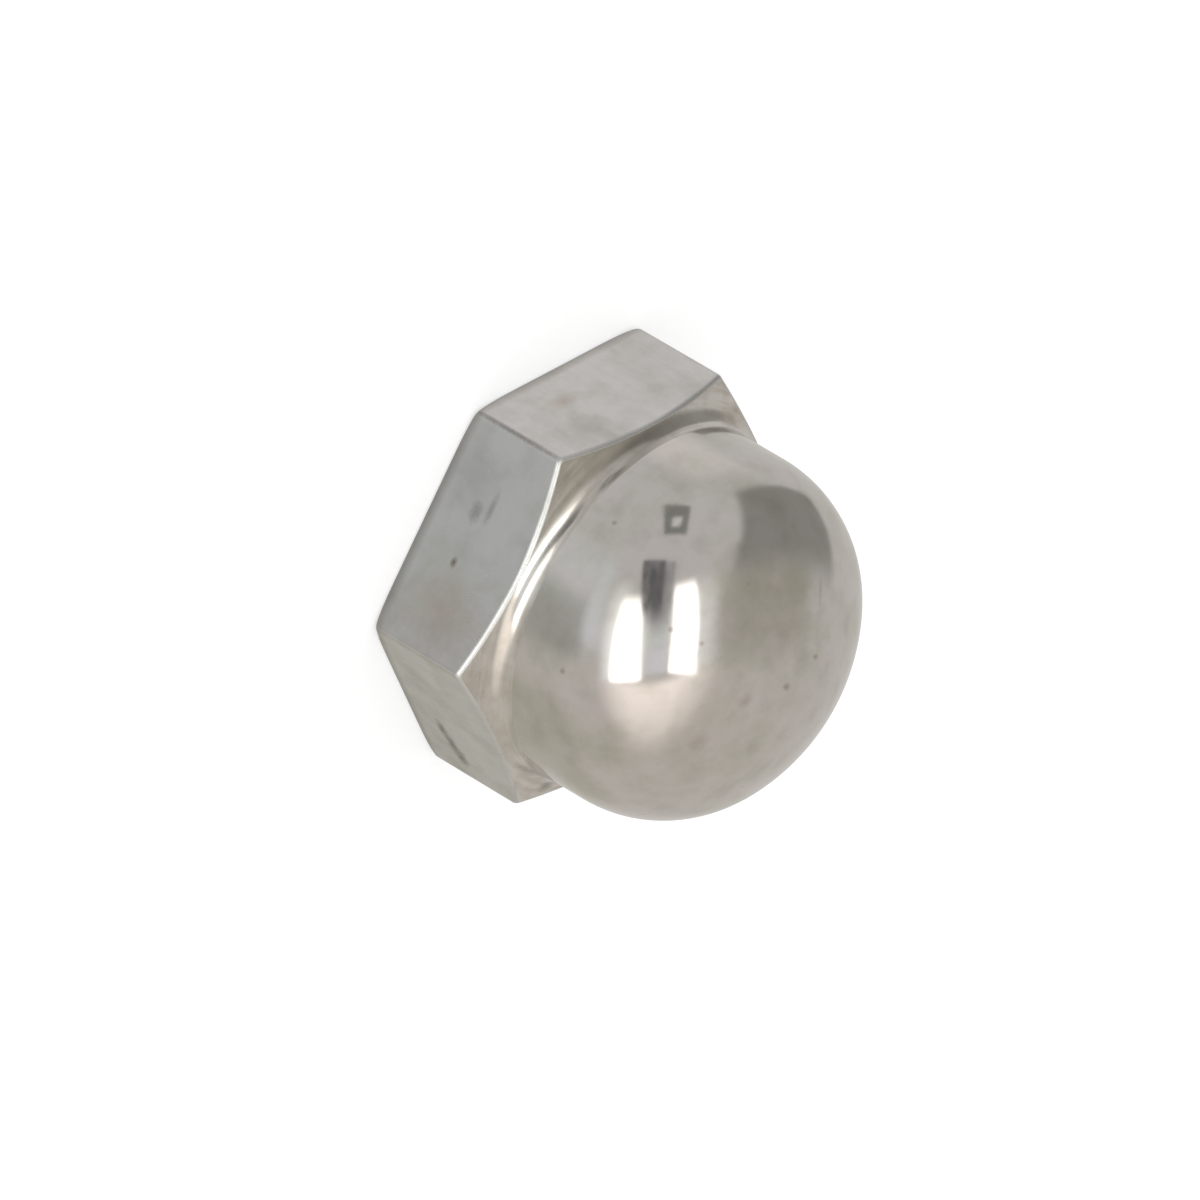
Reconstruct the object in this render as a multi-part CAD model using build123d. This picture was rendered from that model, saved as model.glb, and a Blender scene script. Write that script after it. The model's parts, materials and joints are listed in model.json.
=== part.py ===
from build123d import *

# Domed cap nut, turned in one piece from hexagon bar.
#
# Frame: millimetres, +Z up along the thread axis, origin at the centre of the flat bearing face. The
# dome points up, two flats face +Y and -Y, and two corners point along +X and -X.

import os
from math import atan2, cos, degrees, hypot, radians, sin, tan

# Hexagon
ACROSS_FLATS = 17.0
SHOULDER_HEIGHT = 5.28  # bearing face to the top of each flat, at its middle
CORNER_ROUND = 0.3  # radius along the six upright corners of the bar
BEARING_EDGE_ROUND = 0.15  # radius around the bearing face
CHAMFER_ANGLE = 25.0  # slope of the turned chamfer above the bearing plane, degrees

# Dome
OVERALL_HEIGHT = 14.8
DOME_INSET = 0.5  # how far the dome's straight wall stands in from the flats
DOME_FLATTENING = 1.5  # how far the dome's curve falls short of a full hemisphere's height
CROWN_SWELL = 0.8  # how far the crown rises above the top of the arc that rounds the wall over
FOOT_FILLET = 0.95  # radius where the dome's wall runs out into the chamfer

# Blind hole for an M10 coarse thread, as drilled for the tap
THREAD_DIAMETER = 10.0
THREAD_PITCH = 1.5
COUNTERSINK_CLEARANCE = 0.4  # radial gap between the thread's outside and the countersink's rim
COUNTERSINK_ANGLE = 120.0  # included, degrees
DRILL_POINT_ANGLE = 118.0  # included, degrees
CROWN_WALL = 2.25  # metal left between the drill point and the top of the dome

# Worked out from the sizes above
CORNER_RADIUS = ACROSS_FLATS / 2 / cos(radians(30))
DOME_RADIUS = ACROSS_FLATS / 2 - DOME_INSET
DOME_RISE = DOME_RADIUS - DOME_FLATTENING
BAND_TOP = OVERALL_HEIGHT - DOME_RISE
CHAMFER_DROP = (CORNER_RADIUS - ACROSS_FLATS / 2) * tan(radians(CHAMFER_ANGLE))

# The foot's arc is tangent to the chamfer and to the dome's straight wall
CHAMFER_OUT = sin(radians(CHAMFER_ANGLE))
CHAMFER_UP = cos(radians(CHAMFER_ANGLE))
FOOT_CENTRE_X = DOME_RADIUS + FOOT_FILLET
FOOT_CENTRE_Z = SHOULDER_HEIGHT + (CHAMFER_OUT * (DOME_INSET - FOOT_FILLET) + FOOT_FILLET) / CHAMFER_UP

# The wall rounds over in one arc, and a larger arc centred on the axis crowns it, tangent to it
ROUND_RADIUS = DOME_RISE - CROWN_SWELL
ROUND_CENTRE_X = DOME_RADIUS - ROUND_RADIUS
CROWN_CENTRE_DROP = (ROUND_CENTRE_X**2 - CROWN_SWELL**2) / (2 * CROWN_SWELL)
CROWN_RADIUS = ROUND_RADIUS + hypot(ROUND_CENTRE_X, CROWN_CENTRE_DROP)
CROWN_CENTRE_Z = BAND_TOP - CROWN_CENTRE_DROP
ROUND_ARC = degrees(atan2(CROWN_CENTRE_DROP, ROUND_CENTRE_X))

BORE_RADIUS = (THREAD_DIAMETER - THREAD_PITCH) / 2
COUNTERSINK_RADIUS = THREAD_DIAMETER / 2 + COUNTERSINK_CLEARANCE
COUNTERSINK_DEPTH = (COUNTERSINK_RADIUS - BORE_RADIUS) / tan(radians(COUNTERSINK_ANGLE / 2))
POINT_HEIGHT = BORE_RADIUS / tan(radians(DRILL_POINT_ANGLE / 2))
POINT_TOP = OVERALL_HEIGHT - CROWN_WALL
BORE_TOP = POINT_TOP - POINT_HEIGHT


def turned_blank() -> Part:
    """Chamfered collar, filleted foot, straight band and domed crown, as turned."""
    with BuildPart() as blank:
        with BuildSketch(Plane.XZ):
            with BuildLine():
                Polyline(
                    (0, OVERALL_HEIGHT),
                    (0, 0),
                    (CORNER_RADIUS, 0),
                    (CORNER_RADIUS, SHOULDER_HEIGHT - CHAMFER_DROP),
                    (
                        FOOT_CENTRE_X - FOOT_FILLET * CHAMFER_OUT,
                        FOOT_CENTRE_Z - FOOT_FILLET * CHAMFER_UP,
                    ),
                )
                CenterArc(
                    center=(FOOT_CENTRE_X, FOOT_CENTRE_Z),
                    radius=FOOT_FILLET,
                    start_angle=270 - CHAMFER_ANGLE,
                    arc_size=CHAMFER_ANGLE - 90,
                )
                Line((DOME_RADIUS, FOOT_CENTRE_Z), (DOME_RADIUS, BAND_TOP))
                CenterArc((ROUND_CENTRE_X, BAND_TOP), ROUND_RADIUS, 0, ROUND_ARC)
                CenterArc((0, CROWN_CENTRE_Z), CROWN_RADIUS, ROUND_ARC, 90 - ROUND_ARC)
            make_face()
        revolve(axis=Axis.Z)
    return blank.part


def hexagon_bar() -> Part:
    """The bar's own form: six flats with rounded corners, and a soft edge at the bearing face."""
    with BuildPart() as bar:
        with BuildSketch():
            RegularPolygon(ACROSS_FLATS / 2, 6, major_radius=False)
        extrude(amount=OVERALL_HEIGHT)
        fillet(bar.edges().filter_by(Axis.Z), CORNER_ROUND)
        fillet(bar.faces().sort_by(Axis.Z)[0].edges(), BEARING_EDGE_ROUND)
    return bar.part


def thread_hole() -> Part:
    """Countersink, tap-drill bore and drill point, as one turned void."""
    with BuildPart() as hole:
        with BuildSketch(Plane.XZ):
            with BuildLine():
                Polyline(
                    (0, 0),
                    (COUNTERSINK_RADIUS, 0),
                    (BORE_RADIUS, COUNTERSINK_DEPTH),
                    (BORE_RADIUS, BORE_TOP),
                    (0, POINT_TOP),
                    close=True,
                )
            make_face()
        revolve(axis=Axis.Z)
    return hole.part


def cap_nut() -> Part:
    """The finished nut: the bar turned down to the blank, then drilled."""
    nut = (hexagon_bar() & turned_blank()) - thread_hole()
    nut.label = "cap_nut"
    return nut


os.makedirs("parts", exist_ok=True)
export_step(cap_nut(), "parts/cap_nut.step")
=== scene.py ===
# Looks of a domed cap nut: stainless steel, turned and polished from hexagon bar, in a small light tent.
#
# Metres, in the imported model's frame: +Z up along the thread axis, the bearing face at z = 0.

import json
import logging
import math
from collections.abc import Mapping, Sequence
from dataclasses import dataclass, replace
from enum import IntEnum
from typing import Any

import bpy
from bpy.types import Material, Mesh, Node, NodeOutputs, NodeSocket, NodeTree, Object
from mathutils import Matrix, Vector


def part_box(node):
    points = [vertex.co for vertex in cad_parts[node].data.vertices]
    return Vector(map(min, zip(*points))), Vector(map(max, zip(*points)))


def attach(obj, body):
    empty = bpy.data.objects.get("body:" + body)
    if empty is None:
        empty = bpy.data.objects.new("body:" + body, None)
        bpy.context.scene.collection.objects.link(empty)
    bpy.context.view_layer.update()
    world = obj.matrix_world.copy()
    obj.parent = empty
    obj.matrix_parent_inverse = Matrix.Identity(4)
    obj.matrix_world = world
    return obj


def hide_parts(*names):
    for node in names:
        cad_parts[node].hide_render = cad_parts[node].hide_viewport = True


MM = 0.001
NODE = "cap_nut"
BODY = "root"

HALF_SIXTH = math.radians(30)  # from a corner of the hexagon to the middle of a flat
WELD = 1e-4 * MM  # points nearer than this are one point
THREAD_CREST, THREAD_ROOT = 0.149, 0.4375  # turns from a crest's middle to its edge and to the root's edge

# Noise values between which the metal goes from clean to dull, and the tones that lie over it
CLEAN, DULL = 0.42, 0.68
BLOTCH_TONE = "#8b8377"
PIT_TONE = "#857c70"
# Tone of the painted shade along the bearing edge
BEARING_SHADE_TONE = "#77736c"

MATH = "ShaderNodeMath"
VECTOR_MATH = "ShaderNodeVectorMath"
MAP_RANGE = "ShaderNodeMapRange"
MIX = "ShaderNodeMix"
NOISE = "ShaderNodeTexNoise"
SPLIT = "ShaderNodeSeparateXYZ"

log = logging.getLogger("cap_nut")
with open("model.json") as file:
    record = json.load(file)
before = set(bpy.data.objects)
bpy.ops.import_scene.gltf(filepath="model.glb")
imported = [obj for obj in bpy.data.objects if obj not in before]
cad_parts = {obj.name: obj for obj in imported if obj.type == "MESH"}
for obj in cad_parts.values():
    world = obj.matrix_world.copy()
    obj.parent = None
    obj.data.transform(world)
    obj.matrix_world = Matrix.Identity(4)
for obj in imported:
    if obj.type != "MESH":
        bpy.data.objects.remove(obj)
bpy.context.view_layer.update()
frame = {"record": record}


def linear(hex_colour: str) -> tuple[float, float, float, float]:
    """Turns an sRGB hex colour into linear light.

    Args:
        hex_colour: The colour, such as "#d0cec9".

    Returns:
        Red, green, blue and alpha, in linear light.
    """
    shares = [int(hex_colour[i : i + 2], 16) / 255 for i in (1, 3, 5)]
    red, green, blue = (c / 12.92 if c <= 0.04045 else ((c + 0.055) / 1.055) ** 2.4 for c in shares)
    return red, green, blue, 1.0


def add_node(
    tree: NodeTree, kind: str, inputs: Sequence[Any] | Mapping[str, Any] = (), **settings: Any
) -> Node:
    """Adds one node to a tree, with its settings, values and links.

    Args:
        tree: The tree that the node joins.
        kind: The node's type.
        inputs: What each input takes, in order or by name. A node or a socket is linked, a list of them
            is linked one after another, None leaves the input alone, and anything else is its value.
        **settings: The node's own properties, such as a Math node's operation.

    Returns:
        The new node.
    """
    node = tree.nodes.new(kind)
    for name, value in settings.items():
        setattr(node, name, value)
    sockets = [socket for socket in node.inputs if socket.enabled]
    wanted = inputs.items() if isinstance(inputs, Mapping) else enumerate(inputs)
    for key, value in wanted:
        socket = sockets[key] if isinstance(key, int) else next(s for s in sockets if s.name == key)
        for source in value if isinstance(value, list) else [value]:
            if isinstance(source, Node):
                source = next(s for s in source.outputs if s.enabled)
            if isinstance(source, NodeSocket):
                tree.links.new(source, socket)
            elif source is not None:
                socket.default_value = source
    return node


def new_material(name: str) -> tuple[Material, NodeTree]:
    """Makes a material with nothing in its tree.

    Args:
        name: The material's name.

    Returns:
        The material and its tree.
    """
    material = bpy.data.materials.new(name)
    material.use_nodes = True
    material.node_tree.nodes.clear()
    return material, material.node_tree


class Zone(IntEnum):
    """Where a finish lies on the nut."""

    BAR = 0
    FACED = 1
    TURNED = 2
    POLISHED = 3
    TAPPED = 4
    WORN = 5


@dataclass(frozen=True)
class StainOrShade:
    """A small mark at one place: most are stains left on the steel, and a few are painted shade.

    Attributes:
        place: Its centre, in millimetres.
        reach: How far it spreads along X, Y and Z, in millimetres.
        colour: The steel's colour at its centre, as sRGB hex.
        strength: How much of that colour shows there, from 0 to 1.
    """

    place: tuple[float, float, float]
    reach: tuple[float, float, float]
    colour: str
    strength: float


@dataclass(frozen=True)
class SteelFinish:
    """Stainless steel, type 304, with the surface that one way of working leaves.

    Attributes:
        name: The steel and how its surface was made.
        bright: The clean metal's colour, as sRGB hex.
        dull: Its colour where it is slightly smeared or tarnished.
        smooth: Roughness where it is cleanest.
        rough: Roughness where it is dullest.
        smear: Width of the smears, in millimetres.
        blotch_width: Width of the small faint blotches, in millimetres.
        relief: Height of the tool marks, in millimetres.
        pit_spacing: Distance between the places where a pit may lie, in millimetres.
        pit_size: Radius of the largest pits, in millimetres.
        pit_share: Share of those places that hold a pit.
        streak: Share of the dullness that follows the tool marks, from 0 to 1.
        blotch: How much the blotches show, from 0 to 1.
        grain: Spacing of the tool marks along X, Y and Z, in millimetres, or None where they run round
            the axis.
        ring_spacing: Spacing of marks that run round the axis, in millimetres.
        stains_and_shade: Stains at places of their own, and painted shade at a few places.
        bearing_shade: How much painted shade darkens the bar along the bearing edge, from 0 to 1.
        bearing_shade_height: Heights between which the painted shade sets in towards the bearing face, in
            millimetres.
    """

    name: str
    bright: str
    dull: str
    smooth: float
    rough: float
    smear: float
    blotch_width: float
    relief: float
    pit_spacing: float
    pit_size: float
    pit_share: float
    streak: float = 0.4
    blotch: float = 0.3
    grain: tuple[float, float, float] | None = None
    ring_spacing: float = 0.0
    stains_and_shade: tuple[StainOrShade, ...] = ()
    bearing_shade: float = 0.0
    bearing_shade_height: tuple[float, float] = (0.55, 0.05)

    def build(self) -> Material:
        """Builds the material.

        Returns:
            The material, with its patterns on Object coordinates.
        """
        material, tree = new_material(self.name)
        place = add_node(tree, "ShaderNodeTexCoord").outputs["Object"]
        in_mm = add_node(tree, "ShaderNodeMapping", [place, None, None, (1 / MM,) * 3])

        smears = {"Vector": in_mm, "Scale": 1 / self.smear, "Detail": 4.0, "Roughness": 0.6}
        smear = add_node(tree, NOISE, smears)
        marks = self._tool_marks(tree, in_mm)
        wear = add_node(tree, MIX, {"Factor": self.streak, "A": smear, "B": marks}, data_type="FLOAT")
        dullness = add_node(tree, MAP_RANGE, [wear, CLEAN, DULL, 0.0, 1.0])
        metal = {"Factor": dullness, "A": linear(self.bright), "B": linear(self.dull)}
        colour = add_node(tree, MIX, metal, data_type="RGBA")

        # Spots: stains, and a few of painted shade.
        layers = [(self._spot_shown(tree, in_mm, stain), stain.colour) for stain in self.stains_and_shade]
        cloud = add_node(tree, NOISE, {"Vector": in_mm, "Scale": 1 / self.blotch_width})
        layers.append((add_node(tree, MAP_RANGE, [cloud, 0.5, 0.75, 0.0, self.blotch]), BLOTCH_TONE))
        pit = self._pits(tree, in_mm)
        layers.append((pit, PIT_TONE))
        # Painted shade: the bar darkens towards the bearing face.
        if self.bearing_shade:
            height = add_node(tree, SPLIT, [in_mm]).outputs["Z"]
            bearing_shade = add_node(tree, MAP_RANGE, [height, *self.bearing_shade_height, 0.0, self.bearing_shade])
            layers.append((bearing_shade, BEARING_SHADE_TONE))
        for shown, tone in layers:
            colour = add_node(tree, MIX, {"Factor": shown, "A": colour, "B": linear(tone)}, data_type="RGBA")

        spread = add_node(tree, MAP_RANGE, [dullness, 0.0, 1.0, self.smooth, self.rough])
        rougher = add_node(tree, MATH, [marks, 0.05, spread], operation="MULTIPLY_ADD")
        relief = add_node(tree, MATH, [pit, -2.0, marks], operation="MULTIPLY_ADD")
        bump = add_node(tree, "ShaderNodeBump", {"Distance": self.relief * MM, "Height": relief})
        worked = {"Base Color": colour, "Metallic": 1.0, "Roughness": rougher, "Normal": bump}
        steel = add_node(tree, "ShaderNodeBsdfPrincipled", worked)
        add_node(tree, "ShaderNodeOutputMaterial", [steel])
        return material

    def _tool_marks(self, tree: NodeTree, in_mm: Node) -> Node:
        """Draws the fine lines that the last tool left.

        Args:
            tree: The material's tree.
            in_mm: The place on the nut, in millimetres.

        Returns:
            The node whose output is the marks' height, from 0 to 1.
        """
        if self.grain:
            spacing = tuple(1 / g for g in self.grain)
            spaced = add_node(tree, "ShaderNodeMapping", [in_mm, None, None, spacing])
        else:
            # The rings' own noise changes slowly round the nut, so that each line fades in and out.
            across = add_node(tree, VECTOR_MATH, [in_mm, (1.0, 1.0, 0.0)], operation="MULTIPLY")
            radius = add_node(tree, VECTOR_MATH, [across], operation="LENGTH").outputs["Value"]
            along = add_node(tree, SPLIT, [in_mm]).outputs["Z"]
            ring = add_node(tree, MATH, [radius, along], operation="ADD")
            rings = add_node(tree, "ShaderNodeCombineXYZ", [None, None, ring])
            closer = {"Vector": rings, "Scale": 1 / self.ring_spacing}
            spaced = add_node(tree, VECTOR_MATH, closer, operation="SCALE")
            slow = add_node(tree, VECTOR_MATH, [in_mm, (0.3, 0.3, 0.0)], operation="MULTIPLY")
            spaced = add_node(tree, VECTOR_MATH, [spaced, slow], operation="ADD")
        lines = {"Vector": spaced, "Scale": 1.0, "Detail": 3.0, "Roughness": 0.6}
        return add_node(tree, NOISE, lines)

    def _pits(self, tree: NodeTree, in_mm: Node) -> Node:
        """Scatters small pits, each at its own depth.

        Args:
            tree: The material's tree.
            in_mm: The place on the nut, in millimetres.

        Returns:
            The node whose output is 1 in the deepest pit and 0 on sound metal.
        """
        spaced = {"Vector": in_mm, "Scale": 1 / self.pit_spacing}
        cells = add_node(tree, "ShaderNodeTexVoronoi", spaced)
        reach = self.pit_size / self.pit_spacing
        near = add_node(tree, MAP_RANGE, [cells.outputs["Distance"], 0.0, reach, 1.0, 0.0])
        chance = add_node(tree, SPLIT, [cells.outputs["Color"]])
        held = add_node(tree, MAP_RANGE, [chance, 1 - self.pit_share, 1.0, 0.0, 1.0])
        return add_node(tree, MATH, [near, held], operation="MULTIPLY")

    def _spot_shown(self, tree: NodeTree, in_mm: Node, stain: StainOrShade) -> Node:
        """Works out how much of one spot, a stain or painted shade, shows at each place.

        Args:
            tree: The material's tree.
            in_mm: The place on the nut, in millimetres.
            spot: The spot.

        Returns:
            The node whose output is the spot's strength at its middle and 0 outside it.
        """
        away = add_node(tree, VECTOR_MATH, [in_mm, stain.place], operation="SUBTRACT")
        shares = add_node(tree, VECTOR_MATH, [away, stain.reach], operation="DIVIDE")
        far = add_node(tree, VECTOR_MATH, [shares], operation="LENGTH").outputs["Value"]
        ragged = add_node(tree, NOISE, {"Vector": in_mm, "Scale": 2 / min(stain.reach), "Detail": 3.0})
        edge = add_node(tree, MATH, [ragged, 0.8, far], operation="MULTIPLY_ADD")
        return add_node(tree, MAP_RANGE, [edge, 0.5, 1.4, stain.strength, 0.0])


# Drawn and tumbled bar: a soft, slightly smeared sheen with faint lines along the bar and the marks of
# handling, with painted shade along the bearing edge and a painted dark reflection line down one corner.
DRAWN_BAR = SteelFinish(
    name="stainless_steel_drawn_and_tumbled",
    bright="#d0d0cf",
    dull="#bfc0bc",
    smooth=0.2,
    rough=0.3,
    smear=3.0,
    streak=0.12,
    blotch=0.2,
    blotch_width=1.4,
    grain=(0.25, 0.25, 2.5),
    relief=0.0006,
    pit_spacing=1.6,
    pit_size=0.1,
    pit_share=0.08,
    stains_and_shade=(
        StainOrShade((0.92, -8.5, 2.22), (0.3, 1.0, 0.2), "#6f5a4a", 0.8),
        StainOrShade((-1.3, -8.5, 2.15), (0.6, 1.0, 0.35), "#7f8477", 0.6),
        StainOrShade((-1.75, -8.5, 2.75), (0.9, 1.0, 0.2), "#84897c", 0.5),
        StainOrShade((3.2, -8.5, 2.9), (2.4, 1.0, 2.6), "#b3a498", 0.55),
        StainOrShade((-2.6, -8.5, 1.4), (1.6, 1.0, 1.6), "#9aa09c", 0.3),
        StainOrShade((8.1, -2.97, 1.75), (0.8, 0.9, 0.3), "#66665f", 0.85),
        StainOrShade((8.55, -2.19, 1.98), (0.8, 0.9, 0.36), "#66665f", 0.85),
        StainOrShade((9.0, -1.41, 2.24), (0.8, 0.9, 0.42), "#6b6b64", 0.85),
        StainOrShade((-6.5, -5.7, 1.9), (1.3, 1.3, 0.5), "#b09c8e", 0.4),
        # Painted dark reflection: a thin line down the corner between the front and left-front flats.
        StainOrShade((-4.9, -8.45, 2.2), (0.2, 0.2, 3.4), "#6d675f", 0.6),
    ),
    # Painted shade along the bearing edge
    bearing_shade=0.6,
)
# The same bar where handling has worn its edges round: scuffed, so a highlight along it is one soft line.
WORN_EDGE = replace(
    DRAWN_BAR,
    name="stainless_steel_worn_edge",
    smooth=0.36,
    rough=0.42,
    blotch=0.0,
    relief=0.0002,
    stains_and_shade=(),
    bearing_shade=0.0,
)
# Faced in the lathe: fine rings round the axis.
FACED = SteelFinish(
    name="stainless_steel_faced",
    bright="#cfcdc8",
    dull="#bdbbb4",
    smooth=0.22,
    rough=0.32,
    smear=2.5,
    blotch_width=0.8,
    ring_spacing=0.09,
    relief=0.004,
    pit_spacing=1.1,
    pit_size=0.08,
    pit_share=0.1,
)
# Turned and left as the tool cut it: faint rings round the foot of the dome, darker where they hold dirt,
# and painted shade over the chamfer above one flat.
TURNED = SteelFinish(
    name="stainless_steel_turned",
    bright="#d8d5cf",
    dull="#b8b2a8",
    smooth=0.13,
    rough=0.26,
    smear=2.0,
    streak=0.65,
    blotch=0.2,
    blotch_width=0.8,
    ring_spacing=0.16,
    relief=0.0012,
    pit_spacing=1.1,
    pit_size=0.1,
    pit_share=0.1,
    stains_and_shade=(
        # Painted shade over the chamfer and the dome's foot above the left-front flat.
        StainOrShade((-6.6, -4.9, 5.5), (4.2, 3.4, 2.0), "#857e73", 0.58),
        StainOrShade((7.9, -1.7, 5.65), (0.35, 1.4, 0.5), "#6f6f64", 0.6),
        StainOrShade((8.6, 0.6, 5.2), (0.5, 0.6, 0.4), "#5f6355", 0.6),
    ),
)
# Turned, then polished on a wheel: nearly a mirror, with faint blotches and a few small pits that the
# wheel didn't reach.
POLISHED = SteelFinish(
    name="stainless_steel_turned_and_polished",
    bright="#d2cecb",
    dull="#c3c2b8",
    smooth=0.07,
    rough=0.13,
    smear=2.4,
    streak=0.1,
    blotch=0.16,
    blotch_width=1.1,
    ring_spacing=0.12,
    relief=0.0003,
    pit_spacing=0.9,
    pit_size=0.17,
    pit_share=0.22,
    stains_and_shade=(
        StainOrShade((-0.4, -1.54, 14.66), (0.22, 0.3, 0.3), "#8a8478", 0.6),
        StainOrShade((-1.85, -0.38, 14.61), (0.16, 0.22, 0.3), "#8a8478", 0.6),
        StainOrShade((-4.35, -0.74, 13.7), (0.9, 0.16, 0.5), "#a39c90", 0.4),
        StainOrShade((0.64, -3.23, 14.2), (0.5, 0.4, 0.4), "#a2978a", 0.4),
        StainOrShade((2.87, -3.85, 13.48), (0.7, 0.5, 0.5), "#a39a8e", 0.35),
        StainOrShade((8.0, -0.6, 6.1), (0.6, 0.5, 0.35), "#7c7c70", 0.5),
    ),
)
# Tapped with cutting oil: darker, and torn a little along the thread.
TAPPED = SteelFinish(
    name="stainless_steel_tapped",
    bright="#c4c1ba",
    dull="#aeaaa0",
    smooth=0.26,
    rough=0.4,
    smear=1.5,
    blotch_width=0.6,
    ring_spacing=0.07,
    relief=0.005,
    pit_spacing=0.8,
    pit_size=0.07,
    pit_share=0.15,
)
FINISHES = {
    Zone.BAR: DRAWN_BAR,
    Zone.FACED: FACED,
    Zone.TURNED: TURNED,
    Zone.POLISHED: POLISHED,
    Zone.TAPPED: TAPPED,
    Zone.WORN: WORN_EDGE,
}


@dataclass(frozen=True)
class Band:
    """One band of the nut's skin, which a point of its profile sweeps as it goes round.

    Every length is in metres, and is a number or a socket of the tree that makes the band.

    Attributes:
        name: What a turner calls it.
        zone: Which finish it takes.
        rows: Rows of faces along the profile.
        start: Radius and height where it starts, or of the arc's centre there.
        end: Radius and height where it ends, or None for an arc about one centre.
        arc: Radius and the first and last angle of an arc, in radians.
    """

    name: str
    zone: Zone
    rows: int
    start: tuple[Any, Any]
    end: tuple[Any, Any] | None = None
    arc: tuple[Any, Any, Any] = (0.0, 0.0, 0.0)


@dataclass(frozen=True)
class CapNut:
    """The nut: one shell, from the drill point inside, round the bearing face, up to the dome's top.

    Attributes:
        across_flats: Width across the flats.
        height: Bearing face to the top of the dome.
        bore_radius: Tap-drill radius, which is the thread's crest.
        shoulder_height: Bearing face to the top of each flat, at its middle.
        corner_round: Radius along the bar's six upright corners.
        bearing_round: Radius around the bearing face.
        corner_wear: How much larger that radius has worn at the bar's corners.
        chamfer_angle: Slope of the chamfer, in radians.
        edge_round: Radius that the chamfer's curved edges have worn to.
        dome_inset: How far the dome's wall stands in from the flats.
        dome_flattening: How far the dome's curve falls short of a hemisphere's height.
        crown_swell: How far the crown rises above the arc that rounds the wall over.
        foot_fillet: Radius where the dome's wall runs out into the chamfer.
        thread_diameter: The thread's outside diameter.
        thread_pitch: Distance between turns of the thread.
        mouth_clearance: Gap between the thread's outside and the countersink's rim.
        mouth_angle: The countersink's included angle, in radians.
        point_angle: The drill point's included angle, in radians.
        crown_wall: Metal left between the drill point and the top of the dome.
        run_out: Turns over which the end of the thread fades out.
        wear_fade: How quickly the wear at a corner fades away from it.
        columns: Columns of faces right round, a multiple of six.
        corner_share: Share of each sixth of them that goes round its corner.
        column_ease: How closely the others crowd towards the corner.
        rows_per_turn: Rows of faces in each turn of the thread.
    """

    across_flats: float
    height: float
    bore_radius: float
    shoulder_height: float = 5.28 * MM
    corner_round: float = 0.3 * MM
    bearing_round: float = 0.15 * MM
    corner_wear: float = 0.28 * MM
    chamfer_angle: float = math.radians(25)
    edge_round: float = 0.25 * MM
    dome_inset: float = 0.5 * MM
    dome_flattening: float = 1.5 * MM
    crown_swell: float = 0.8 * MM
    foot_fillet: float = 0.95 * MM
    thread_diameter: float = 10 * MM
    thread_pitch: float = 1.5 * MM
    mouth_clearance: float = 0.4 * MM
    mouth_angle: float = math.radians(120)
    point_angle: float = math.radians(118)
    crown_wall: float = 2.25 * MM
    run_out: float = 1.5
    wear_fade: float = 4.0
    columns: int = 240
    corner_share: float = 0.2
    column_ease: float = 1.6
    rows_per_turn: int = 16

    @property
    def dome_radius(self) -> float:
        """Radius of the dome's straight wall."""
        return self.across_flats / 2 - self.dome_inset

    @property
    def foot_height(self) -> float:
        """Height of the centre of the arc at the dome's foot, tangent to the chamfer and the wall."""
        inward = math.sin(self.chamfer_angle) * (self.dome_inset - self.foot_fillet)
        return self.shoulder_height + (inward + self.foot_fillet) / math.cos(self.chamfer_angle)

    @property
    def band_top(self) -> float:
        """Height where the straight wall ends and the dome begins to round over."""
        return self.height - (self.dome_radius - self.dome_flattening)

    @property
    def round_radius(self) -> float:
        """Radius of the arc that rounds the wall over."""
        return self.height - self.band_top - self.crown_swell

    @property
    def crown_drop(self) -> float:
        """How far the crown's centre lies under the top of the wall."""
        inset = self.dome_radius - self.round_radius
        return (inset**2 - self.crown_swell**2) / (2 * self.crown_swell)

    @property
    def point_top(self) -> float:
        """Height of the drill point's tip."""
        return self.height - self.crown_wall

    @property
    def bore_top(self) -> float:
        """Height where the bore ends and the drill point begins."""
        return self.point_top - self.bore_radius / math.tan(self.point_angle / 2)

    def sizes(self) -> dict[str, float]:
        """Gives the sizes that the tree takes.

        Returns:
            Each named input of the tree, with its length in metres or angle in radians.
        """
        round_centre = self.dome_radius - self.round_radius
        return {
            "Across Flats": self.across_flats,
            "Corner Round": self.corner_round,
            "Bearing Round": self.bearing_round,
            "Chamfer Slope": math.tan(self.chamfer_angle),
            "Chamfer Cosine": math.sin(self.chamfer_angle),
            "Corner Wear": self.corner_wear,
            "Edge Round": self.edge_round,
            "Dome Radius": self.dome_radius,
            "Foot Fillet": self.foot_fillet,
            "Foot Height": self.foot_height,
            "Band Top": self.band_top,
            "Round Centre": round_centre,
            "Round Radius": self.round_radius,
            "Round Arc": math.atan2(self.crown_drop, round_centre),
            "Crown Centre": self.band_top - self.crown_drop,
            "Crown Radius": self.round_radius + math.hypot(round_centre, self.crown_drop),
            "Thread Pitch": self.thread_pitch,
            "Thread Crest": self.bore_radius,
            "Thread Root": self.thread_diameter / 2,
            "Mouth Radius": self.thread_diameter / 2 + self.mouth_clearance,
            "Mouth Slope": math.tan(self.mouth_angle / 2),
            "Bore Top": self.bore_top,
            "Point Top": self.point_top,
        }

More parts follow.
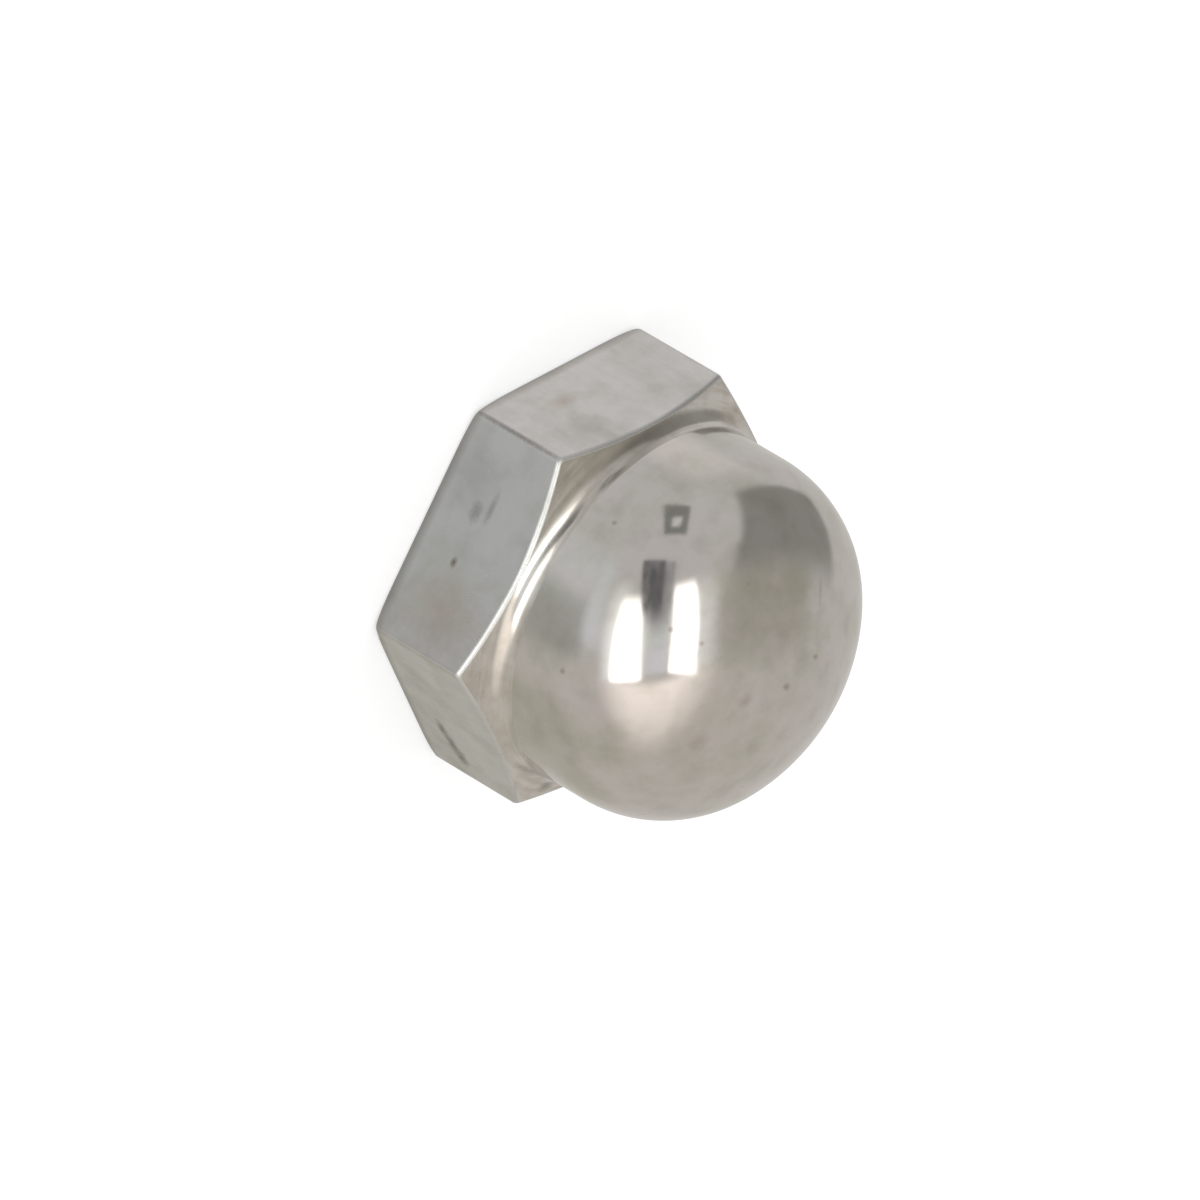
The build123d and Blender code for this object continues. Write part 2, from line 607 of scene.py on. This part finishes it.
    def build(self) -> Object:
        """Makes the nut's mesh with its tree and dresses it.

        Returns:
            The finished piece, riding on its body; the CAD node's own part is hidden.
        """
        maker = bpy.data.objects.new("nut_maker", bpy.data.meshes.new("nut_maker"))
        bpy.context.scene.collection.objects.link(maker)
        modifier = maker.modifiers.new("Turned and tapped", "NODES")
        modifier.node_group = self._nut_tree()
        sizes = self.sizes()
        for item in modifier.node_group.interface.items_tree:
            if item.in_out == "INPUT" and item.name in sizes:
                modifier[item.identifier] = sizes[item.name]
        evaluated = maker.evaluated_get(bpy.context.evaluated_depsgraph_get())
        mesh = bpy.data.meshes.new_from_object(evaluated)
        bpy.data.objects.remove(maker)
        # Set Material leaves the maker's own empty slot in front of the finishes.
        if mesh.materials[0] is None:
            mesh.materials.pop(index=0)
        mesh.name = "cap_nut_steel"
        piece = bpy.data.objects.new("cap_nut_steel", mesh)
        bpy.context.scene.collection.objects.link(piece)
        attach(piece, BODY)
        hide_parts(NODE)
        return piece

    def _nut_tree(self) -> NodeTree:
        """Builds the tree that makes the whole shell from named sizes.

        Returns:
            The Geometry Nodes tree.
        """
        tree = bpy.data.node_groups.new("Cap nut", "GeometryNodeTree")
        tree.interface.new_socket("Nut", in_out="OUTPUT", socket_type="NodeSocketGeometry")
        for name, value in self.sizes().items():
            socket = tree.interface.new_socket(name, in_out="INPUT", socket_type="NodeSocketFloat")
            socket.default_value = value
        size = add_node(tree, "NodeGroupInput").outputs
        angle, plan_radius = self._hexagon_plan(tree, size)
        band_group = self._band_tree()
        skin = []
        for band in self._bands(tree, size, plan_radius):
            # In the order of the group's inputs
            given = [self.columns, band.rows, int(band.zone), angle]
            given += [*band.start, *(band.end or band.start), *band.arc]
            skin.append(add_node(tree, "GeometryNodeGroup", given, node_tree=band_group, label=band.name))
        skin.append(self._tapped_bore(tree, size, angle))
        joined = add_node(tree, "GeometryNodeJoinGeometry", [skin])
        closed = add_node(tree, "GeometryNodeMergeByDistance", {"Geometry": joined, "Distance": WELD})
        smooth = add_node(tree, "GeometryNodeSetShadeSmooth", [closed])
        shell = add_node(tree, "GeometryNodeRealizeInstances", [smooth])
        zone = add_node(tree, "GeometryNodeInputNamedAttribute", ["zone"], data_type="INT")
        for number, finish in FINISHES.items():
            # At least this zone: each later finish takes over from the one before it.
            test = {"data_type": "INT", "operation": "GREATER_EQUAL"}
            here = add_node(tree, "FunctionNodeCompare", [zone, int(number)], **test)
            dressed = {"Geometry": shell, "Selection": here, "Material": finish.build()}
            shell = add_node(tree, "GeometryNodeSetMaterial", dressed)
        add_node(tree, "NodeGroupOutput", [shell])
        return tree

    def _hexagon_plan(self, tree: NodeTree, size: NodeOutputs) -> tuple[NodeSocket, NodeSocket]:
        """Works out where each column of faces meets the bar's rounded hexagon.

        A column's place round the nut is its grid's own X, from -0.5 to 0.5. Each sixth of the turn is
        centred on a corner. Its middle columns share out the corner's arc, and the others run along the
        flats, closer together near the arc.

        Args:
            tree: The nut's tree.
            size: The tree's named sizes.

        Returns:
            The column's angle about the axis, and the hexagon's radius at that angle.
        """
        grid_place = add_node(tree, "GeometryNodeInputPosition")
        across = add_node(tree, SPLIT, [grid_place]).outputs["X"]
        sixths = add_node(tree, MATH, [across, 6.0, 3.0], operation="MULTIPLY_ADD")
        corner = add_node(tree, MATH, [sixths], operation="ROUND")
        aside = add_node(tree, MATH, [sixths, corner], operation="SUBTRACT")
        side = add_node(tree, MATH, [aside], operation="SIGN")
        off_corner = add_node(tree, MATH, [aside], operation="ABSOLUTE")
        half_share = self.corner_share / 2
        turned = add_node(tree, MAP_RANGE, [off_corner, 0.0, half_share, 0.0, HALF_SIXTH])
        along = add_node(tree, MAP_RANGE, [off_corner, half_share, 0.5, 0.0, 1.0])
        eased = add_node(tree, MATH, [along, self.column_ease], operation="POWER")
        inner_half = add_node(tree, MATH, [size["Across Flats"], 0.5], operation="MULTIPLY")
        set_in = add_node(tree, MATH, [inner_half, size["Corner Round"]], operation="SUBTRACT")
        centre = add_node(tree, MATH, [set_in, 1 / math.cos(HALF_SIXTH)], operation="MULTIPLY")
        cosine = add_node(tree, MATH, [turned], operation="COSINE")
        sine = add_node(tree, MATH, [turned], operation="SINE")
        arc_x = add_node(tree, MATH, [cosine, size["Corner Round"], centre], operation="MULTIPLY_ADD")
        arc_y = add_node(tree, MATH, [sine, size["Corner Round"]], operation="MULTIPLY")
        on_arc = add_node(tree, "ShaderNodeCombineXYZ", [arc_x, arc_y])
        flat_way = (math.cos(HALF_SIXTH), math.sin(HALF_SIXTH), 0.0)
        mid_flat = add_node(tree, VECTOR_MATH, {"Vector": flat_way, "Scale": inner_half}, operation="SCALE")
        point = add_node(tree, MIX, {"Factor": eased, "A": on_arc, "B": mid_flat}, data_type="VECTOR")
        plan = add_node(tree, SPLIT, [point])
        swing = add_node(tree, MATH, [plan.outputs["Y"], plan.outputs["X"]], operation="ARCTAN2")
        signed = add_node(tree, MATH, [swing, side], operation="MULTIPLY")
        angle = add_node(tree, MATH, [corner, 2 * HALF_SIXTH, signed], operation="MULTIPLY_ADD")
        radius = add_node(tree, VECTOR_MATH, [point], operation="LENGTH")
        return angle.outputs["Value"], radius.outputs["Value"]

    def _bands(self, tree: NodeTree, size: NodeOutputs, plan_radius: NodeSocket) -> list[Band]:
        """Lists the shell's bands, from the drill point and the bearing face up to the dome's top.

        A worn arc leads from each flat onto the chamfer, and the foot's arc leads on to the dome. At the
        middle of a flat the two arcs meet with no chamfer between them, so the angle where the first one
        ends, and the height of the flat, follow the hexagon's radius.

        Args:
            tree: The nut's tree.
            size: The tree's named sizes.
            plan_radius: The hexagon's radius at each column.

        Returns:
            The bands in order.
        """
        quarter = math.pi / 2
        flat_radius = add_node(tree, MATH, [size["Across Flats"], 0.5], operation="MULTIPLY")
        beyond = add_node(tree, MATH, [plan_radius, flat_radius], operation="SUBTRACT")
        share = add_node(tree, MATH, [beyond, flat_radius], operation="DIVIDE")
        cornerness = add_node(tree, MATH, [share, 1 / math.cos(HALF_SIXTH) - 1], operation="DIVIDE")
        worn = add_node(tree, MATH, [cornerness, self.wear_fade], operation="POWER")
        softened = [worn, size["Corner Wear"], size["Bearing Round"]]
        bearing = add_node(tree, MATH, softened, operation="MULTIPLY_ADD")
        rim = add_node(tree, MATH, [plan_radius, bearing], operation="SUBTRACT")

        foot_radius = add_node(tree, MATH, [size["Dome Radius"], size["Foot Fillet"]], operation="ADD")
        edge_radius = add_node(tree, MATH, [plan_radius, size["Edge Round"]], operation="SUBTRACT")
        apart = add_node(tree, MATH, [foot_radius, edge_radius], operation="SUBTRACT")
        reach = add_node(tree, MATH, [size["Edge Round"], size["Foot Fillet"]], operation="ADD")
        apart_share = add_node(tree, MATH, [apart, reach], operation="DIVIDE")
        cosine = add_node(tree, MATH, [apart_share, size["Chamfer Cosine"]], operation="MAXIMUM")
        turn = add_node(tree, MATH, [cosine], operation="ARCCOSINE")
        sine = add_node(tree, MATH, [turn], operation="SINE")
        both_arcs = add_node(tree, MATH, [cosine, reach], operation="MULTIPLY")
        chamfer_width = add_node(tree, MATH, [both_arcs, apart], operation="SUBTRACT")
        arcs_rise = add_node(tree, MATH, [sine, reach], operation="MULTIPLY")
        edge_top = add_node(tree, MATH, [size["Foot Height"], arcs_rise], operation="SUBTRACT")
        drop = add_node(tree, MATH, [chamfer_width, size["Chamfer Slope"]], operation="MULTIPLY")
        wall_top = add_node(tree, MATH, [edge_top, drop], operation="SUBTRACT")
        cone_foot = (
            add_node(tree, MATH, [cosine, size["Edge Round"], edge_radius], operation="MULTIPLY_ADD"),
            add_node(tree, MATH, [sine, size["Edge Round"], wall_top], operation="MULTIPLY_ADD"),
        )
        inward = add_node(tree, MATH, [size["Foot Fillet"], -1.0], operation="MULTIPLY")
        cone_head = (
            add_node(tree, MATH, [cosine, inward, foot_radius], operation="MULTIPLY_ADD"),
            add_node(tree, MATH, [sine, inward, size["Foot Height"]], operation="MULTIPLY_ADD"),
        )
        foot_turn = add_node(tree, MATH, [turn, math.pi], operation="SUBTRACT")
        drill_end = (size["Thread Crest"], size["Bore Top"])
        wall_foot = (size["Dome Radius"], size["Foot Height"])
        wall_head = (size["Dome Radius"], size["Band Top"])
        edge_arc = (size["Edge Round"], 0.0, turn)
        foot_centre = (foot_radius, size["Foot Height"])
        foot_arc = (size["Foot Fillet"], foot_turn, -math.pi)
        round_centre = (size["Round Centre"], size["Band Top"])
        round_arc = (size["Round Radius"], 0.0, size["Round Arc"])
        crown_arc = (size["Crown Radius"], size["Round Arc"], quarter)
        return [
            Band("Drill point", Zone.TAPPED, 10, (0.0, size["Point Top"]), drill_end),
            Band("Bearing face", Zone.FACED, 12, (size["Mouth Radius"], 0.0), (rim, 0.0)),
            Band("Bearing round", Zone.BAR, 8, (rim, bearing), arc=(bearing, -quarter, 0.0)),
            Band("Flats", Zone.BAR, 14, (plan_radius, bearing), (plan_radius, wall_top)),
            Band("Worn edge", Zone.WORN, 8, (edge_radius, wall_top), arc=edge_arc),
            Band("Chamfer", Zone.TURNED, 8, cone_foot, cone_head),
            Band("Foot", Zone.TURNED, 16, foot_centre, arc=foot_arc),
            Band("Straight wall", Zone.POLISHED, 8, wall_foot, wall_head),
            Band("Round", Zone.POLISHED, 26, round_centre, arc=round_arc),
            Band("Crown", Zone.POLISHED, 24, (0.0, size["Crown Centre"]), arc=crown_arc),
        ]

    def _band_tree(self) -> NodeTree:
        """Builds the group that makes one band: a grid, wrapped round the axis along its profile.

        Returns:
            The group.
        """
        tree = bpy.data.node_groups.new("Turned band", "GeometryNodeTree")
        tree.interface.new_socket("Skin", in_out="OUTPUT", socket_type="NodeSocketGeometry")
        for name in ("Columns", "Rows", "Zone"):
            tree.interface.new_socket(name, in_out="INPUT", socket_type="NodeSocketInt")
        lengths = ("From Radius", "From Height", "To Radius", "To Height", "Arc Radius")
        for name in ("Angle", *lengths, "Arc From", "Arc To"):
            tree.interface.new_socket(name, in_out="INPUT", socket_type="NodeSocketFloat")
        given = add_node(tree, "NodeGroupInput").outputs

        grid_place = add_node(tree, "GeometryNodeInputPosition")
        up = add_node(tree, SPLIT, [grid_place]).outputs["Y"]
        # Rows crowd towards both ends, so that a curve's shading stays off the flat band beside it.
        swing = add_node(tree, MATH, [up, math.pi], operation="MULTIPLY")
        crowded = add_node(tree, MATH, [swing], operation="SINE")
        share = add_node(tree, MATH, [crowded, 0.5, 0.5], operation="MULTIPLY_ADD")
        ends = (("Arc From", "Arc To"), ("From Radius", "To Radius"), ("From Height", "To Height"))
        arc_angle, radius, height = (
            add_node(tree, MIX, {"Factor": share, "A": given[a], "B": given[b]}, data_type="FLOAT")
            for a, b in ends
        )
        cosine = add_node(tree, MATH, [arc_angle], operation="COSINE")
        sine = add_node(tree, MATH, [arc_angle], operation="SINE")
        out = add_node(tree, MATH, [cosine, given["Arc Radius"], radius], operation="MULTIPLY_ADD")
        level = add_node(tree, MATH, [sine, given["Arc Radius"], height], operation="MULTIPLY_ADD")
        columns, rows, angle, zone = (given[name] for name in ("Columns", "Rows", "Angle", "Zone"))
        skin = self._wrapped_grid(tree, columns, rows, angle, out, level, zone)
        add_node(tree, "NodeGroupOutput", [skin])
        return tree

    def _wrapped_grid(
        self, tree: NodeTree, columns: Any, rows: Any, angle: Any, radius: Any, height: Any, zone: Any
    ) -> Node:
        """Makes a unit grid and wraps it round the axis.

        Args:
            tree: The tree that makes it.
            columns: Faces round the axis.
            rows: Faces along the profile.
            angle: Each point's angle about the axis.
            radius: Each point's distance from the axis.
            height: Each point's height.
            zone: The number of its finish.

        Returns:
            The node that gives the wrapped grid.
        """
        columns_wide = add_node(tree, MATH, [columns, 1.0], operation="ADD")
        rows_high = add_node(tree, MATH, [rows, 1.0], operation="ADD")
        grid = add_node(tree, "GeometryNodeMeshGrid", [1.0, 1.0, columns_wide, rows_high])
        cosine = add_node(tree, MATH, [angle], operation="COSINE")
        sine = add_node(tree, MATH, [angle], operation="SINE")
        x = add_node(tree, MATH, [cosine, radius], operation="MULTIPLY")
        y = add_node(tree, MATH, [sine, radius], operation="MULTIPLY")
        place = add_node(tree, "ShaderNodeCombineXYZ", [x, y, height])
        wrapped = add_node(tree, "GeometryNodeSetPosition", {"Geometry": grid, "Position": place})
        mark = {"Geometry": wrapped, "Name": "zone", "Value": zone}
        return add_node(tree, "GeometryNodeStoreNamedAttribute", mark, data_type="INT", domain="FACE")

    def _tapped_bore(self, tree: NodeTree, size: NodeOutputs, angle: NodeSocket) -> Node:
        """Makes the countersunk mouth and the right-hand thread as one wall.

        Its rows climb with the thread, so its crests and roots are clean lines. At both ends they are
        held at the bore's own height, where they close up into a plain circle.

        Args:
            tree: The nut's tree.
            size: The tree's named sizes.
            angle: Each column's angle about the axis.

        Returns:
            The node that gives the wall.
        """
        turns = math.ceil(self.bore_top / self.thread_pitch) + 1
        grid_place = add_node(tree, "GeometryNodeInputPosition")
        up = add_node(tree, SPLIT, [grid_place]).outputs["Y"]
        down_turns = add_node(tree, MATH, [up, float(turns), turns / 2], operation="MULTIPLY_ADD")
        climb = add_node(tree, MATH, [angle, math.tau], operation="DIVIDE")
        rise = add_node(tree, MATH, [climb, down_turns], operation="SUBTRACT")
        raw = add_node(tree, MATH, [rise, size["Thread Pitch"], size["Bore Top"]], operation="MULTIPLY_ADD")
        height = add_node(tree, "ShaderNodeClamp", [raw, 0.0, size["Bore Top"]])

        # ISO metric form: a crest of 0.3 pitch, flanks at 60 degrees and a root of an eighth.
        off_crest = add_node(tree, MATH, [down_turns, 0.5], operation="PINGPONG")
        groove = add_node(tree, MAP_RANGE, [off_crest, THREAD_CREST, THREAD_ROOT, 0.0, 1.0])
        lowered = [size["Thread Pitch"], -self.run_out, size["Bore Top"]]
        run_out_start = add_node(tree, MATH, lowered, operation="MULTIPLY_ADD")
        kept = add_node(tree, MAP_RANGE, [height, run_out_start, size["Bore Top"], 1.0, 0.0])
        depth = add_node(tree, MATH, [size["Thread Root"], size["Thread Crest"]], operation="SUBTRACT")
        cut = add_node(tree, MATH, [groove, kept], operation="MULTIPLY")
        threaded = add_node(tree, MATH, [cut, depth, size["Thread Crest"]], operation="MULTIPLY_ADD")
        narrowing = add_node(tree, MATH, [height, size["Mouth Slope"]], operation="MULTIPLY")
        mouth = add_node(tree, MATH, [size["Mouth Radius"], narrowing], operation="SUBTRACT")
        radius = add_node(tree, MATH, [threaded, mouth], operation="MAXIMUM")
        rows = turns * self.rows_per_turn
        return self._wrapped_grid(tree, self.columns, rows, angle, radius, height, int(Zone.TAPPED))


@dataclass(frozen=True)
class CameraRig:
    """A long lens on a tripod, turned on its side.

    Attributes:
        azimuth: Degrees round the axis from the front flat.
        elevation: Degrees above the floor.
        roll: Degrees that the nut's axis leans clockwise from upright in the picture.
        lens: Focal length, in millimetres, for a 36 mm wide picture.
        distance: Lens to the nut's middle, along the line of sight, in metres.
        aside: How far the nut's middle lies right of and above the picture's middle, in metres.
    """

    azimuth: float = -10.3
    elevation: float = 30.4
    roll: float = 120.7
    lens: float = 480.0
    distance: float = 649 * MM
    aside: tuple[float, float] = (2.75 * MM, -0.8 * MM)

    @property
    def turned(self) -> Matrix:
        """The camera's right, up and back directions, as the columns of a matrix."""
        turn, lift, lean = (math.radians(a) for a in (self.azimuth, self.elevation, self.roll))
        back = Vector((math.sin(turn) * math.cos(lift), -math.cos(turn) * math.cos(lift), math.sin(lift)))
        level = Vector((math.cos(turn), math.sin(turn), 0.0))
        upright = back.cross(level)
        right = math.sin(lean) * upright + math.cos(lean) * level
        up = math.cos(lean) * upright - math.sin(lean) * level
        return Matrix((right, up, back)).transposed()

    def build(self, target: Vector) -> None:
        """Makes the scene's camera.

        Args:
            target: The nut's middle.
        """
        data = bpy.data.cameras.new("camera")
        data.lens = self.lens
        data.sensor_width = 36.0
        data.clip_start, data.clip_end = 0.01, 10.0
        camera = bpy.data.objects.new("camera", data)
        offset = Vector((-self.aside[0], -self.aside[1], self.distance))
        camera.matrix_world = Matrix.Translation(target + self.turned @ offset) @ self.turned.to_4x4()
        bpy.context.scene.collection.objects.link(camera)
        bpy.context.scene.camera = camera


@dataclass(frozen=True)
class Card:
    """A softbox, flag or bounce card that the polished steel mirrors.

    Attributes:
        name: What it is.
        corners: Its bottom left, bottom right, top right and top left corners, each in degrees right of
            and above the camera, as seen from the nut.
        colour: Its colour, as sRGB hex.
        glow: Its brightness.
        fade: Shares of its size over which it fades out, at both sides, at its bottom and at its top.
        mottle: How unevenly it covers what is behind it, from 0 to 1.
    """

    name: str
    corners: tuple[tuple[float, float], ...]
    colour: str
    glow: float
    fade: tuple[float, float, float]
    mottle: float = 0.0


CARDS = (
    Card("back_cloth", ((-176, -52), (-82, -46), (-82, -4), (-176, -4)), "#c6c3b9", 1.0, (0.3, 0.4, 0.4)),
    Card("top_bounce", ((128, 40), (-155, 34), (-110, 72), (85, 76)), "#e6e2df", 1.0, (0.4, 0.4, 0.4)),
    Card("table_glow", ((-78, -80), (82, -80), (54, -24), (-52, -24)), "#fff6ee", 1.35, (0.4, 1.0, 0.1)),
    Card("near_flag", ((32, -32), (104, -22), (104, 20), (40, 38)), "#bbb7af", 1.0, (0.3, 0.35, 0.15)),
    Card("side_flag", ((40, 6), (118, -2), (142, 27), (90, 66)), "#a3a29e", 0.9, (0.12, 0.4, 0.1)),
    Card("left_flag", ((-84, -18), (-57, -18), (-50, 18), (-74, 26)), "#b9b9b6", 1.0, (0.2, 0.3, 0.3)),
    Card("window_spill", ((-66, -20), (-34, -20), (-36, 54), (-66, 50)), "#e4e7e9", 1.0, (0.45, 0.3, 0.5)),
    Card("window_halo", ((-50, -34), (-20, -34), (-20, 28), (-42, 28)), "#f4f5f5", 1.3, (0.45, 0.1, 0.4)),
    Card("side_halo", ((26, -34), (52, -34), (40, 24), (16, 24)), "#f0efec", 1.1, (0.45, 0.1, 0.4)),
    Card("left_softbox", ((-40, -34), (-7, -38), (-12, 16), (-30, 17)), "#fffdfa", 3.2, (0.16, 0.06, 0.22)),
    Card("right_softbox", ((12, -35), (40, -37), (22, 21), (6, 20)), "#fffdfa", 3.2, (0.16, 0.06, 0.22)),
    Card("tripod_flag", ((-10, -36), (14, -36), (9, 10), (-14, 10)), "#eaecf0", 1.0, (0.2, 0.1, 0.3)),
    Card("camera_body", ((-8, -16), (9, -16), (7, 33), (-8, 35)), "#a4a4a6", 0.9, (0.2, 0.4, 0.05), 0.4),
    Card("camera_flag", ((-13, -8), (2, -10), (-1, 35), (-23, 37)), "#69696c", 0.9, (0.12, 0.4, 0.05), 0.25),
    Card("lamp_head", ((-10, 51), (14, 48), (25, 71), (-37, 75)), "#92938f", 0.9, (0.12, 0.12, 0.08)),
    Card("lamp_glass", ((-5, 56), (8, 55), (12, 65), (-8, 66)), "#e2e2df", 1.0, (0.3, 0.3, 0.3)),
)


@dataclass(frozen=True)
class Studio:
    """The light tent: a white floor, plain soft light, and the cards that shape the reflections.

    Attributes:
        reach: Nut to the cards, in metres.
        card_steps: Faces along each side of a card.
        tent_radius: Nut to the tent's cloth, in metres.
        floor_size: Width of the floor, in metres.
        card_gap: How much nearer each card stands than the one before it, in metres.
        cards: The softboxes, flags and bounce cards, from the back to the front.
        cloth: The tent cloth's colours low down and high up, as sRGB hex.
        paper: How much of the light on it the floor's paper gives back.
        paper_glow: How much the paper glows by itself, which keeps its shadow faint.
    """

    reach: float = 0.3
    card_steps: int = 12
    tent_radius: float = 0.4
    floor_size: float = 4.0
    card_gap: float = 0.004
    cards: tuple[Card, ...] = CARDS
    cloth: tuple[str, str] = ("#d3cec8", "#d4d2d1")
    paper: float = 0.55
    paper_glow: float = 0.55

    def build(self, rig: CameraRig, target: Vector) -> None:
        """Sets up the floor, the light and the cards.

        Args:
            rig: The camera, which the cards stand round.
            target: The nut's middle.
        """
        scene = bpy.context.scene
        scene.view_settings.view_transform = "Standard"
        world = bpy.data.worlds.new("daylight")
        world.use_nodes = True
        world.node_tree.nodes["Background"].inputs["Color"].default_value = (1.0, 1.0, 1.0, 1.0)
        scene.world = world
        world.cycles_visibility.glossy = False
        self._floor()
        self._tent(rig, target)
        for number, card in enumerate(self.cards):
            self._card(card, rig, target, self.reach - number * self.card_gap)
        log.info("studio: floor, tent and %d cards", len(self.cards))

    def _staged(self, name: str, mesh: Mesh, material: Material) -> Object:
        """Adds a stage object that isn't part of the nut.

        Args:
            name: The object's name.
            mesh: Its mesh.
            material: Its material.

        Returns:
            The object.
        """
        mesh.materials.append(material)
        piece = bpy.data.objects.new(name, mesh)
        bpy.context.scene.collection.objects.link(piece)
        return piece

    def _mirrored_only(self, piece: Object) -> None:
        """Lets only the steel see a stage object, so that it hides nothing and lights no floor."""
        piece.visible_camera = False
        piece.visible_diffuse = False
        piece.visible_shadow = False

    def _floor(self) -> None:
        """Lays a white floor that keeps only a faint shadow under the nut."""
        half = self.floor_size / 2
        mesh = bpy.data.meshes.new("floor")
        corners = [(-half, -half, 0), (half, -half, 0), (half, half, 0), (-half, half, 0)]
        mesh.from_pydata(corners, [], [(0, 1, 2, 3)])
        material, tree = new_material("white_backdrop_paper")
        paper = add_node(tree, "ShaderNodeBsdfDiffuse", [(self.paper, self.paper, self.paper, 1.0)])
        glow = add_node(tree, "ShaderNodeEmission", [(1.0, 1.0, 1.0, 1.0), self.paper_glow])
        both = add_node(tree, "ShaderNodeAddShader", [paper, glow])
        add_node(tree, "ShaderNodeOutputMaterial", [both])
        floor = self._staged("floor", mesh, material)
        floor.visible_glossy = False
        floor.visible_shadow = False

    def _tent(self, rig: CameraRig, target: Vector) -> None:
        """Hangs the tent's cloth all round, a little warmer towards the table.

        Args:
            rig: The camera, whose upright the tent's cloth follows.
            target: The nut's middle.
        """
        material, tree = new_material("tent_cloth")
        place = add_node(tree, "ShaderNodeTexCoord").outputs["Object"]
        upward = add_node(tree, SPLIT, [place]).outputs["Y"]
        level = add_node(tree, MAP_RANGE, [upward, -self.tent_radius, self.tent_radius, 0.0, 1.0])
        low, high = map(linear, self.cloth)
        tone = add_node(tree, MIX, {"Factor": level, "A": low, "B": high}, data_type="RGBA")
        cloth = add_node(tree, "ShaderNodeEmission", [tone, 1.0])
        add_node(tree, "ShaderNodeOutputMaterial", [cloth])
        material.cycles.emission_sampling = "NONE"
        bpy.ops.mesh.primitive_ico_sphere_add(subdivisions=4, radius=self.tent_radius)
        tent = bpy.context.object
        tent.name = "tent"
        tent.data.materials.append(material)
        tent.matrix_world = Matrix.Translation(target) @ rig.turned.to_4x4()
        self._mirrored_only(tent)

    def _card(self, card: Card, rig: CameraRig, target: Vector, reach: float) -> None:
        """Stands one card at its place, square to the nut.

        Args:
            card: The card.
            rig: The camera, which the card's place is told from.
            target: The nut's middle.
            reach: Nut to the card, in metres.
        """
        ways = []
        for across, above in (map(math.radians, corner) for corner in card.corners):
            level = math.cos(above)
            ways.append(Vector((math.sin(across) * level, math.sin(above), math.cos(across) * level)))
        steps = [step / self.card_steps for step in range(self.card_steps + 1)]
        points = []
        for up in steps:
            left, right = ways[0].lerp(ways[3], up), ways[1].lerp(ways[2], up)
            points += [rig.turned @ left.lerp(right, along).normalized() * reach for along in steps]
        wide = self.card_steps + 1
        starts = [row * wide + column for row in range(wide - 1) for column in range(wide - 1)]
        mesh = bpy.data.meshes.new(card.name)
        mesh.from_pydata(points, [], [(s, s + 1, s + 1 + wide, s + wide) for s in starts])
        share_map = mesh.uv_layers.new(name="share")
        for loop in mesh.loops:
            row, column = divmod(loop.vertex_index, wide)
            share_map.data[loop.index].uv = (steps[column], steps[row])
        material, tree = new_material(card.name)
        share = add_node(tree, "ShaderNodeUVMap", uv_map="share")
        shares = add_node(tree, SPLIT, [share])
        from_side = add_node(tree, MATH, [shares.outputs["X"], 0.5], operation="PINGPONG")
        from_top = add_node(tree, MATH, [1.0, shares.outputs["Y"]], operation="SUBTRACT")
        cover = 1.0
        for distance, fade in zip((from_side, shares.outputs["Y"], from_top), card.fade):
            ramp = [distance, 0.0, fade, 0.0, 1.0]
            shown = add_node(tree, MAP_RANGE, ramp, interpolation_type="SMOOTHSTEP")
            cover = add_node(tree, MATH, [cover, shown], operation="MULTIPLY")
        if card.mottle:
            cloud = add_node(tree, NOISE, {"Vector": share, "Scale": 5.0, "Detail": 4.0})
            thinned = add_node(tree, MAP_RANGE, [cloud, 0.4, 0.62, 1.0, 1.0 - card.mottle])
            cover = add_node(tree, MATH, [cover, thinned], operation="MULTIPLY")
        clear = add_node(tree, "ShaderNodeBsdfTransparent")
        glow = add_node(tree, "ShaderNodeEmission", [linear(card.colour), card.glow])
        sheet = add_node(tree, "ShaderNodeMixShader", [cover, clear, glow])
        add_node(tree, "ShaderNodeOutputMaterial", [sheet])
        piece = self._staged(card.name, mesh, material)
        piece.matrix_world = Matrix.Translation(target)
        self._mirrored_only(piece)


def main() -> None:
    """Builds the nut, the camera and the studio."""
    logging.basicConfig(level=logging.INFO, format="%(name)s: %(message)s")
    low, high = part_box(NODE)
    thread = next(m for m in frame["record"]["mounts"] if m["name"] == "thread")
    nut = CapNut(across_flats=high.y - low.y, height=high.z - low.z, bore_radius=thread["dims"]["r_mm"] * MM)
    piece = nut.build()
    log.info("%s: %d faces, %d finishes", piece.name, len(piece.data.polygons), len(piece.data.materials))
    middle = (low + high) / 2
    rig = CameraRig()
    rig.build(middle)
    Studio().build(rig, middle)


if __name__ == "__main__":
    main()
